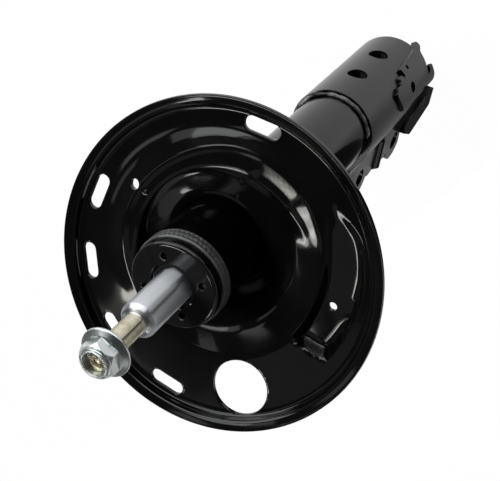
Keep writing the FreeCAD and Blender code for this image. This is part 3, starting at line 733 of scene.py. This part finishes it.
def rollMarks(angle, radius, height):
    # two rows of rolled dents round the band: the radius dips with a wave in the angle, and each
    # row fades with the square of the distance from its own height
    low, high, wide = tube["markRows"]
    begin, end = tube["markEnds"]
    band = (radius > tube["radius"] + 0.3) * smooth(*begin, height) * (1 - smooth(*end, height))
    wave = 0.5 + 0.5 * np.cos(angle * tube["markCount"])
    rows = wave * np.exp(-((height - low) / wide) ** 2)
    rows = rows + (1 - wave) * np.exp(-((height - high) / wide) ** 2)
    return radius - band * tube["marks"] * rows


def buildTube():
    # tube wall with its rolled band, turned about the strut axis
    r = tube["radius"]
    bore = r - tube["wall"]
    proud = r + tube["bandProud"]
    low, top, bottom = tube["bandLow"], tube["top"], tube["bottom"]
    profile = [(bore, bottom), (r, bottom), (r, low - 1.5), (proud, low), (proud, top - 0.9), (r, top),
               (bore, top)]
    cuts = [0.4, 0.8, 1.0, 0.9, 0.8, 0.3, 0.3]
    return turnedPiece("strutTube", profile, cuts, [2, 10, 2, 20, 2, 2, 8], 480, 4, shape=rollMarks)


def buildCap():
    # turned cap with a spigot in the tube's bore, and four ports drilled round its hole
    r, face = tube["radius"], tube["cap"]
    rest = tube["top"] + tube["capGap"]
    inside = face - tube["capSheet"]
    wall, long = tube["spigot"]
    bore = r - tube["wall"] - tube["capGap"]
    spigot = bore - wall
    hole = tube["capHole"]
    profile = [(hole, inside), (spigot, inside), (spigot, rest - long), (bore, rest - long), (bore, rest),
               (r - 0.3, rest), (r + 0.05, rest + 1.0), (r - 0.1, face), (hole, face)]
    cuts = [0.4, 0.8, 0.3, 0.3, 0.2, 0.4, 0.8, 1.9, 0.6]
    cap = turnedPiece("topCap", profile, cuts, [3, 2, 1, 2, 1, 2, 4, 12, 2], 256, 5)
    depths, grows = drillRows(face, inside, tube["portEdge"])
    tools = []
    for k in range(4):
        centre = turned(tube["portCircle"], 0.0, tube["portTurn"] + 90.0 * k)
        loops = [circle(tube["portRadius"], centre, grow, 16) for grow in grows]
        tools.append(prismPiece("portTool", loops, depths, pointsOf))
    return carve(cap, joined("portTools", tools))


def buildSeal():
    # dust lip, groove with its garter, and the body below
    lip, outer, low, high = tube["seal"]
    garter = high - 2.6
    profile = [(lip, low), (outer, low), (outer, garter - 0.8), (outer - 0.9, garter - 0.7),
               (outer - 0.9, garter + 0.7), (outer, garter + 0.8), (outer, high - 0.6),
               (outer - 0.7, high), (lip + 1.5, high), (lip, high - 1.2)]
    cuts = [0.3, 0.3, 0.2, 0.2, 0.2, 0.2, 0.4, 0.3, 0.4, 0.3]
    return turnedPiece("oilSeal", profile, cuts, [3, 3, 1, 2, 1, 2, 1, 2, 2, 4], 160, 2)


dress(buildTube(), "strut_tube", "strut", tubePaint)
dress(buildCap(), "top_cap", "strut", capPaint)
dress(buildSeal(), "oil_seal", "strut", sealRubber)
print("stage: tube, cap and seal")


# Rod and nut

rod = {
    "radius": 10.0,
    "shoulder": (349.0, 351.5, 8.2),
    "shank": 6.0,
    "groove": (371.5, 373.1, 0.6),
    "socket": (6.0, 1.6, 3.0, 3.4, 3.9),  # flats, depth, its round radius, its mouth, widest corner
    "spigot": 6.0,
    "nutFlats": 18.0,
    "nutTurn": 8.0,
    "nutSeat": 377.6,
    "nutFlange": (13.4, 1.3, 3.2),
    "nutHex": 6.6,
    "nutCollar": (7.4, 1.9),
    "nutChamfer": (2.2, 0.62),  # height, and how far it comes in per mm
    "nutPlay": 0.08,
}


def hexRadius(angle, flats, turn=0.0):
    # distance to the side of a hexagon: half the flats over the cosine of the angle from the
    # side's middle
    sixth = math.pi / 3
    local = np.mod(angle - math.radians(turn), sixth) - sixth / 2
    return flats / 2 / np.cos(local)


def buildRod():
    # turned rod from the piston's spigot to the threaded end; its mouth holds a six-sided socket
    low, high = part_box("piston_rod")
    bottom, top = low[2] / mm, high[2] / mm
    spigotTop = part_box("check_stop_washer")[1][2] / mm
    flats, deep, round_, mouth, corner = rod["socket"]
    floor = top - deep
    start, cone, neck = rod["shoulder"]
    g0, g1, gd = rod["groove"]
    r, s = rod["radius"], rod["shank"]
    profile = [(0.001, bottom), (rod["spigot"], bottom), (rod["spigot"], spigotTop), (r - 0.6, spigotTop),
               (r, spigotTop + 0.6), (r, start), (neck, cone), (s, cone), (s, g0), (s - gd, g0 + 0.2),
               (s - gd, g1 - 0.2), (s, g1), (s, top - 0.6), (s - 0.6, top), (mouth, top), (round_, floor),
               (0.001, floor)]
    cuts = [0, 0.5, 0.2, 0.2, 0.2, 0.8, 0.7, 0.9, 0.1, 0.1, 0.1, 0.1, 0.2, 0.2, 0.1, 0.2, 0]
    spans = [3, 4, 2, 1, 40, 3, 2, 16, 1, 1, 1, 3, 1, 3, 5, 3]

    def socket(angle, radius, height):
        inside = (height > floor - 0.01) & (radius < mouth + 0.01) & (radius > 0.01)
        side = hexRadius(angle, flats, 15.0) * radius / round_
        return np.where(inside, np.where(height > top - 0.05, np.minimum(side, corner), side), radius)

    return turnedPiece("pistonRod", profile, cuts, spans, 192, 3, closed=False, shape=socket)


def buildNut():
    # the larger of the flange's cone and the hexagon, which a second cone chamfers
    bore = rod["shank"] + rod["nutPlay"]
    seatZ = rod["nutSeat"]
    flange, edge, flangeHigh = rod["nutFlange"]
    hexTop = seatZ + flangeHigh + rod["nutHex"]
    collar, collarHigh = rod["nutCollar"]
    chamferHigh, chamferIn = rod["nutChamfer"]
    corner = rod["nutFlats"] / math.sqrt(3)
    top = hexTop + collarHigh
    profile = [(bore, seatZ), (flange, seatZ), (flange, seatZ + edge), (corner, seatZ + flangeHigh),
               (corner, hexTop), (collar, hexTop), (collar, top), (bore, top)]
    cuts = [0.4, 0.35, 0.5, 0.0, 0.0, 0.5, 0.45, 0.5]
    spans = [4, 2, 14, 22, 8, 4, 4, 20]

    def body(angle, radius, height):
        chamfer = corner - np.maximum(0.0, height - (hexTop - chamferHigh)) * chamferIn
        side = np.minimum(hexRadius(angle, rod["nutFlats"], rod["nutTurn"]), chamfer)
        onHex = (height > seatZ + edge) & (height <= hexTop + 1e-6) & (radius > collar + 0.2)
        cone = np.where(height < seatZ + flangeHigh, radius, 0.0)
        inside = np.where(height < hexTop - 1e-6, side, np.minimum(side, radius))
        return np.where(onHex, np.maximum(cone, inside), radius)

    return turnedPiece("flangeNut", profile, cuts, spans, 240, 3, shape=body, sharp=28.0)


dress(buildRod(), "piston_rod", "rod", chrome)
dress(buildNut(), "flange_nut", "rod", zinc)
print("stage: rod and nut")


# Knuckle bracket: one sheet bent round the tube, trimmed to its side view

bracket = {
    "bore": 25.55,
    "sheet": 3.2,
    "top": 103.5,
    "bottom": -7.9,
    "gap": 14.8,
    "leave": 60.0,
    "bolt": (46.0, 71.0, 7.1),
    "boss": 15.3,
    "waist": 51.5,
    "waistTaper": 4.0,
    "bottomDrop": 4.5,
    "dropStart": -1.5,
    "topStart": 25.0,
    "flangeWidth": 9.0,
    "flangeStart": (-1.5, 12.0),  # on the near ear, on the far ear
    "flangeEnd": 43.0,
    "flangeBend": 12.5,
    "flangeSunk": 1.2,  # how deep its inner line lies in the sheet
    "flangeShares": (0.7, 0.66, 1.0, 0.9, 0.5),
    "flangeSection": ((0, 0.5, 0.93, 1, 1, 0.93, 0.5, 0), (0, 0, 0, 0.12, 0.88, 1, 1, 1)),
    "rib": (37.0, 12.0, 3.2, 27.0),
    "backHole": (6.9, 183.0, (29.0, 69.0)),
    "spare": 4.0,  # sheet outside the trim
    "cutter": 60.0,
    "backCutter": (10.0, 40.0),
}


def bracketPath(radius, half, reach):
    # round back, straight flanks that leave it at the neck angle, parallel ears
    turn = bracket["leave"]
    c, s = turned(1.0, 0.0, turn)
    corner = (radius * c + (radius * s - half) * s / c, half)
    side = softPath([(reach, half), corner, (radius * c, radius * s)], [0, 4.5, 0], [26, 3], 5)
    a = np.radians(np.linspace(turn, 360.0 - turn, 60)[1:-1])
    back = pointsOf(radius * np.cos(a), radius * np.sin(a))
    return np.concatenate([side, back, side[::-1] * (1, -1)])


def buildBracket():
    # the bent sheet carried upwards with a crowned rib in its ears, then trimmed, drilled and flanged
    spare = bracket["spare"]
    reach = bracket["bolt"][0] + bracket["boss"] + spare
    outerRadius = bracket["bore"] + bracket["sheet"]
    outside = bracket["gap"] + bracket["sheet"]
    outer = bracketPath(outerRadius, outside, reach)
    inner = bracketPath(bracket["bore"], bracket["gap"], reach)[::-1]
    x, y = np.concatenate([outer, inner]).T
    height = np.linspace(-bracket["boss"] - spare, bracket["top"] + spare, 84)[:, None]
    ribAt, ribWide, ribHigh, ribStart = bracket["rib"]
    crown = np.clip(1 - ((height - ribAt) / (ribWide / 2)) ** 2, 0, 1) ** 1.2
    crown = crown * smooth(ribStart - 3, ribStart + 3, x)
    y = y + np.sign(y) * crown * ribHigh
    piece = gridPiece("knuckleBracket", pointsOf(x, y, height), capped=True)

    offset, spacing, hole = bracket["bolt"]
    boss, waist = bracket["boss"], bracket["waist"]
    low = bracket["bottom"] - bracket["bottomDrop"]
    a = np.radians(np.linspace(-70, 52, 18))
    upper = pointsOf(offset + boss * np.cos(a), spacing + boss * np.sin(a))
    b = np.radians(np.linspace(-62, 70, 18))
    lower = pointsOf(offset + boss * np.cos(b), boss * np.sin(b))
    neck = np.array([[waist + 1.2, 20.0], [waist, 27.0], [waist, 45.0], [waist + 1.2, 52.0]])
    foot = np.array([[-40.0, bracket["bottom"]], [bracket["dropStart"], bracket["bottom"]],
                     [offset - bracket["waistTaper"], low]])
    head = np.array([[bracket["topStart"], bracket["top"]], [-40.0, bracket["top"]]])
    outline = np.concatenate([foot, lower, neck, upper, head])

    def across(u, v, depth):
        return pointsOf(u, depth, v)

    wide = bracket["cutter"]
    carve(piece, straight("bracketTrim", outline, -wide, wide, across), "INTERSECT")
    tools = [straight("boltTool", circle(hole, (offset, at)), -wide, wide, across) for at in (0.0, spacing)]
    radius, angle, heights = bracket["backHole"]
    for at in heights:
        tools.append(straight("backTool", circle(radius, (0.0, at)), *bracket["backCutter"], facing(angle)))
    carve(piece, joined("bracketTools", tools))
    for sign in (1, -1):
        carve(piece, bracketFlange(sign, outerRadius, outside), "UNION")
    return softEdges(piece, 0.55)


def bracketFlange(sign, radius, outside):
    # lower edge turned outwards: a strip whose inner line follows the bracket's outside, round
    # first and then straight, and whose outer line follows a table of widths
    start = bracket["flangeStart"][0 if sign > 0 else 1]
    end, bend = bracket["flangeEnd"], bracket["flangeBend"]
    wide = bracket["flangeWidth"]
    low, dropStart = bracket["bottom"], bracket["dropStart"]
    x = np.linspace(start, end, 40)[:, None]
    c, s = turned(1.0, 0.0, bracket["leave"])
    round_ = np.sqrt(np.maximum(radius ** 2 - x ** 2, 0))
    flank = outside + ((radius - outside * c) / s - x) * c / s
    line = np.where(x < radius * c, round_, np.maximum(flank, outside)) - bracket["flangeSunk"]
    edge = np.repeat([radius, outside], [2, 3]) + wide * np.array(bracket["flangeShares"])
    outer = np.interp(x, [start, bend, end - 4, end - 1, end], edge)
    z = low - bracket["bottomDrop"] * (x - dropStart) / (end - dropStart)
    across, up = np.array(bracket["flangeSection"])
    y = line + across * (outer - line)
    grid = pointsOf(x, sign * y, z + up * bracket["sheet"])
    return gridPiece("flangeStrip", grid, capped=True)


hose = {
    "sheet": 2.3,
    "inner": 28.9,
    "middle": 123.0,
    "spread": (84.0, 166.0, 84),  # angles and columns of the plain sheet
    "spare": 3.0,
    "cutter": (12.0, 42.0),
    "low": -19.0,
    "high": 55.5,
    "outline": ((96.0, 0.9), (120.0, 1.0), (124.0, 0.993), (130.0, 0.933), (130.5, 0.832),
                (138.5, 0.812), (139.5, 0.758), (133.0, 0.738), (133.0, 0.691), (145.5, 0.705),
                (148.0, 0.497), (151.5, 0.242), (158.0, 0.107), (157.0, 0.074), (150.0, 0.074),
                (143.5, 0.161), (112.0, 0.188), (112.0, 0.114), (120.0, 0.114), (121.5, 0.081),
                (120.0, 0.047), (104.0, 0.0), (99.0, 0.007), (96.5, 0.047)),
    "hole": (3.9, 115.4, 27.5),
    "pin": (3.0, 141.5, 22.0),
}


def buildHoseBracket():
    # part of a thin cylinder, trimmed to its notched outline
    inner = hose["inner"]
    outer = inner + hose["sheet"]
    low, high = hose["low"], hose["high"]
    a = np.radians(np.linspace(*hose["spread"]))
    radii = np.repeat([outer, inner], len(a))
    turn = np.concatenate([a, a[::-1]])
    height = np.linspace(low - hose["spare"], high + hose["spare"], 60)[:, None]
    grid = pointsOf(radii * np.cos(turn), radii * np.sin(turn), height)
    piece = gridPiece("hoseBracket", grid, capped=True)
    angles, share = np.array(hose["outline"]).T
    points = pointsOf(outer * np.sin(np.radians(angles - hose["middle"])), low + share * (high - low))
    outline = softPath(points, [1.4] * len(points), [1] * len(points), 3, closed=True)
    carve(piece, straight("hoseTrim", outline, *hose["cutter"], facing(hose["middle"])), "INTERSECT")
    radius, angle, at = hose["hole"]
    size, pinAngle, pinAt = hose["pin"]
    square = np.array([(-0.5, 0.0), (0.5, 0.0), (0.5, 1.0), (-0.5, 1.0)]) * size + (0.0, pinAt)
    tools = [straight("hoseHole", circle(radius, (0.0, at), 0.0, 16), *hose["cutter"], facing(angle)),
             straight("pinHole", square, *hose["cutter"], facing(pinAngle))]
    return softEdges(carve(piece, joined("hoseTools", tools)), 0.35)


# start and end angle, radius, low, high, how far it stands out, ripples, columns, whole ring
welds = {
    "seatWeld": (0.0, 360.0, 25.5, 246.0, 249.9, 3.0, 26, 480, True),
    "bracketWeld": (101.0, 259.0, 25.5, 103.3, 106.8, 2.3, 9, 300, False),
}


def weldBead(name):
    # bead round the tube: a rounded section whose size swells with the ripples of each pass
    start, end, radius, low, high, proud, ripples, columns, closed = welds[name]
    a = np.radians(np.linspace(start, end, columns, endpoint=not closed))
    size = 0.80 + 0.20 * np.abs(np.sin(a * ripples))
    if not closed:
        edge = np.minimum(np.degrees(a) - start, end - np.degrees(a))
        size = size * (0.35 + 0.65 * smooth(0.0, 7.0, edge))
    t = np.linspace(0.0, 2 * math.pi, 20, endpoint=False)[:, None]
    out = 0.5 + 0.5 * np.cos(t)
    r = radius + proud * size * out
    z = low + (high - low) / 2 * (1 + np.sin(t) * size * (1 - 0.25 * out))
    return gridPiece(name, pointsOf(r * np.cos(a), r * np.sin(a), z), closeColumns=closed, sharp=60.0)


dress(buildBracket(), "knuckle_bracket", "strut", bracketPaint)
dress(buildHoseBracket(), "hose_bracket", "strut", bracketPaint)
dress(weldBead("seatWeld"), "seat_weld", "strut", weldPaint)
dress(weldBead("bracketWeld"), "bracket_weld", "strut", weldPaint)
print("stage: brackets and welds")


# Inner pieces keep their solids and get their finish

innerFinish = (
    (tubePaint, ("base_cup",)),
    (weldPaint, ("base_weld",)),
    (sealRubber, ("reservoir_ring",)),
    (bumperRubber, ("rebound_bumper",)),
    (bandPlastic, ("piston_ring",)),
    (bronze, ("guide_bushing",)),
    (sintered, ("rod_guide", "base_valve_body", "piston")),
    (oiledSteel, ("seal_washer", "pressure_tube", "base_valve_pin", "rebound_stop", "check_stop_washer",
                  "disc_washer", "piston_nut")),
    (springSteel, ("seal_spring", "base_valve_discs", "base_check_plate", "base_check_spring",
                   "piston_check_spring", "piston_check_plate", "rebound_discs")),
)
for finish, nodes in innerFinish:
    for node in nodes:
        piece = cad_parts[node]
        if not piece.material_slots:
            piece.data.materials.append(finish)
        for holder in piece.material_slots:
            holder.material = finish
print("stage: inner pieces finished")


# Floor, lights and camera

studio = {
    "floorDrop": 0.006,  # below the lowest piece
    "floorColour": ((0.93, 0.93, 0.93), (0.95, 0.95, 0.95)),
    "floorWhite": (0.985, 0.2),  # share of plain white to the camera and in gloss
    "floorSize": 9.0,
    "ambient": 0.10,
    "tent": ((0.0, 0.02), (0.48, 0.03), (0.52, 0.14), (0.70, 0.08), (0.82, 0.05), (1.0, 0.03)),
    "floorGap": (57.5, 0.10, 0.30),  # in this direction the floor leaves out a strip
    "centre": (-0.046, 0.0, 0.2),
    # azimuth, elevation, distance, width, height, radiance, colour
    "keyLamp": (240.0, 67.0, 2.2, 0.40, 0.40, 84.0),
    "glossLamps": {
        "arcBox": (330.0, 57.8, 1.60, 0.30, 0.12, 6.5, (1.0, 1.0, 0.97)),
        "arcTop": (327.0, 60.6, 1.58, 0.16, 0.12, 7.0, (1.0, 1.0, 0.97)),
        "crescentBox": (314.5, 58.2, 1.62, 0.17, 0.13, 9.5, (1.0, 1.0, 0.92)),
        "crescentGlow": (314.0, 59.5, 1.70, 0.24, 0.20, 0.8, (1.0, 1.0, 0.94)),
        "rimGlint": (347.0, 49.6, 1.62, 0.14, 0.09, 7.0),
        "channelGlow": (340.0, 71.5, 1.60, 0.36, 0.34, 0.15),
        "stripGlow": (269.0, 58.0, 1.60, 0.28, 0.12, 1.0),
        "footGlow": (277.0, 46.0, 1.60, 0.30, 0.16, 0.5),
        "kneeGlow": (228.0, 64.5, 1.60, 0.20, 0.14, 0.7),
        "frontGlow": (228.0, 48.5, 1.60, 0.52, 0.40, 2.1, (0.97, 0.99, 1.0)),
        "frontHaze": (230.0, 50.5, 1.68, 0.90, 0.38, 0.8, (0.97, 0.99, 1.0)),
        "frontBox": (208.0, 19.0, 1.60, 3.10, 1.06, 2.6, (0.97, 0.99, 1.0)),
        "sideBox": (20.0, 46.0, 1.6, 1.10, 0.60, 0.4),
    },
}


def floorPlane():
    # two pale sheets with a strip left out beside the strut, for a dark side in the tube's gloss
    size = studio["floorSize"]
    turn, near, far = studio["floorGap"]
    x, y = np.array([(-size, -size), (near, -size), (near, size), (-size, size),
                     (far, -size), (size, -size), (size, size), (far, size)]).T
    x, y = turned(x, y, turn)
    points = pointsOf(axisX * mm + x, y, cadLow[2] - studio["floorDrop"])
    floor = meshFrom("floor", points, [(0, 1, 2, 3), (4, 5, 6, 7)])
    dark, light = studio["floorColour"]
    f = Finish("paleFloor", dark, 0.9, 0.0, 0.1)
    f.set("Base Color", f.ramp(f.noise(3.0, 2.0), (0.0, dark), (1.0, light)))
    seen, glossed = studio["floorWhite"]
    white = seen * f.ray("Camera") + glossed * (f.ray("Glossy") + f.ray("Transmission"))
    glow = f.add("ShaderNodeEmission", {}, {"Color": (1.0, 1.0, 1.0)})
    blend = f.add("ShaderNodeMixShader", {}, {0: white, 1: Wire(f, f.shader.outputs[0]), 2: glow})
    f.join(f.tree.nodes["Material Output"].inputs["Surface"], blend)
    floor.data.materials.append(f.material)


def paleWorld():
    # an even faint light; in the gloss a grey tent, palest just over the horizon, so that the
    # enamel stays black; plain white to the camera
    world = bpy.data.worlds.new("tent")
    bpy.context.scene.world = world
    world.use_nodes = True
    nodes = Nodes(world.node_tree)
    way = nodes.add("ShaderNodeTexCoord", out="Generated")
    up = nodes.add("ShaderNodeSeparateXYZ", {}, {"Vector": way}, out="Z")
    tent = nodes.ramp(up * 0.5 + 0.5, *studio["tent"])
    plain = nodes.mix(nodes.ray("Glossy"), (studio["ambient"],) * 3, tent)
    nodes.join(nodes.tree.nodes["Background"].inputs["Color"],
               nodes.mix(nodes.ray("Camera"), plain, (1.0, 1.0, 1.0)))


def softbox(name, gloss, azimuth, elevation, distance, wide, tall, radiance, colour=(1.0, 1.0, 1.0)):
    # flat lamp that faces the strut's middle, there for the gloss alone or for all else
    level, up = turned(1.0, 0.0, elevation)
    away = Vector((*turned(level, 0.0, azimuth), up))
    light = bpy.data.lights.new(name, "AREA")
    light.shape = "RECTANGLE"
    light.size = wide
    light.size_y = tall
    light.energy = radiance * math.pi * wide * tall
    light.color = colour
    lamp = linked(name, light)
    lamp.location = Vector(studio["centre"]) + away * distance
    lamp.rotation_euler = away.to_track_quat("Z", "Y").to_euler()
    lamp.visible_camera = False
    lamp.visible_diffuse = not gloss
    lamp.visible_glossy = gloss


camera = {
    "place": (-0.3892, 0.1875, 0.7224),
    "right": (-0.1559, 0.8838, -0.4411),
    "down": (0.8103, 0.3698, 0.4545),
    "forward": (0.5649, -0.2866, -0.7738),
    "lens": 79.107,
    "sensor": 36.0,
}


def makeCamera():
    # the camera stands at its place, turned by the three directions of its picture
    data = bpy.data.cameras.new("camera")
    data.lens = camera["lens"]
    data.sensor_width = camera["sensor"]
    data.sensor_fit = "HORIZONTAL"
    eye = linked("camera", data)
    turn = Matrix((Vector(camera["right"]), -Vector(camera["down"]), -Vector(camera["forward"])))
    eye.matrix_world = Matrix.Translation(camera["place"]) @ turn.transposed().to_4x4()
    bpy.context.scene.camera = eye


floorPlane()
paleWorld()
softbox("keyLamp", False, *studio["keyLamp"])
for name, values in studio["glossLamps"].items():
    softbox(name, True, *values)
makeCamera()
bpy.context.scene.view_settings.view_transform = "Standard"
print("stage: floor, lights and camera")
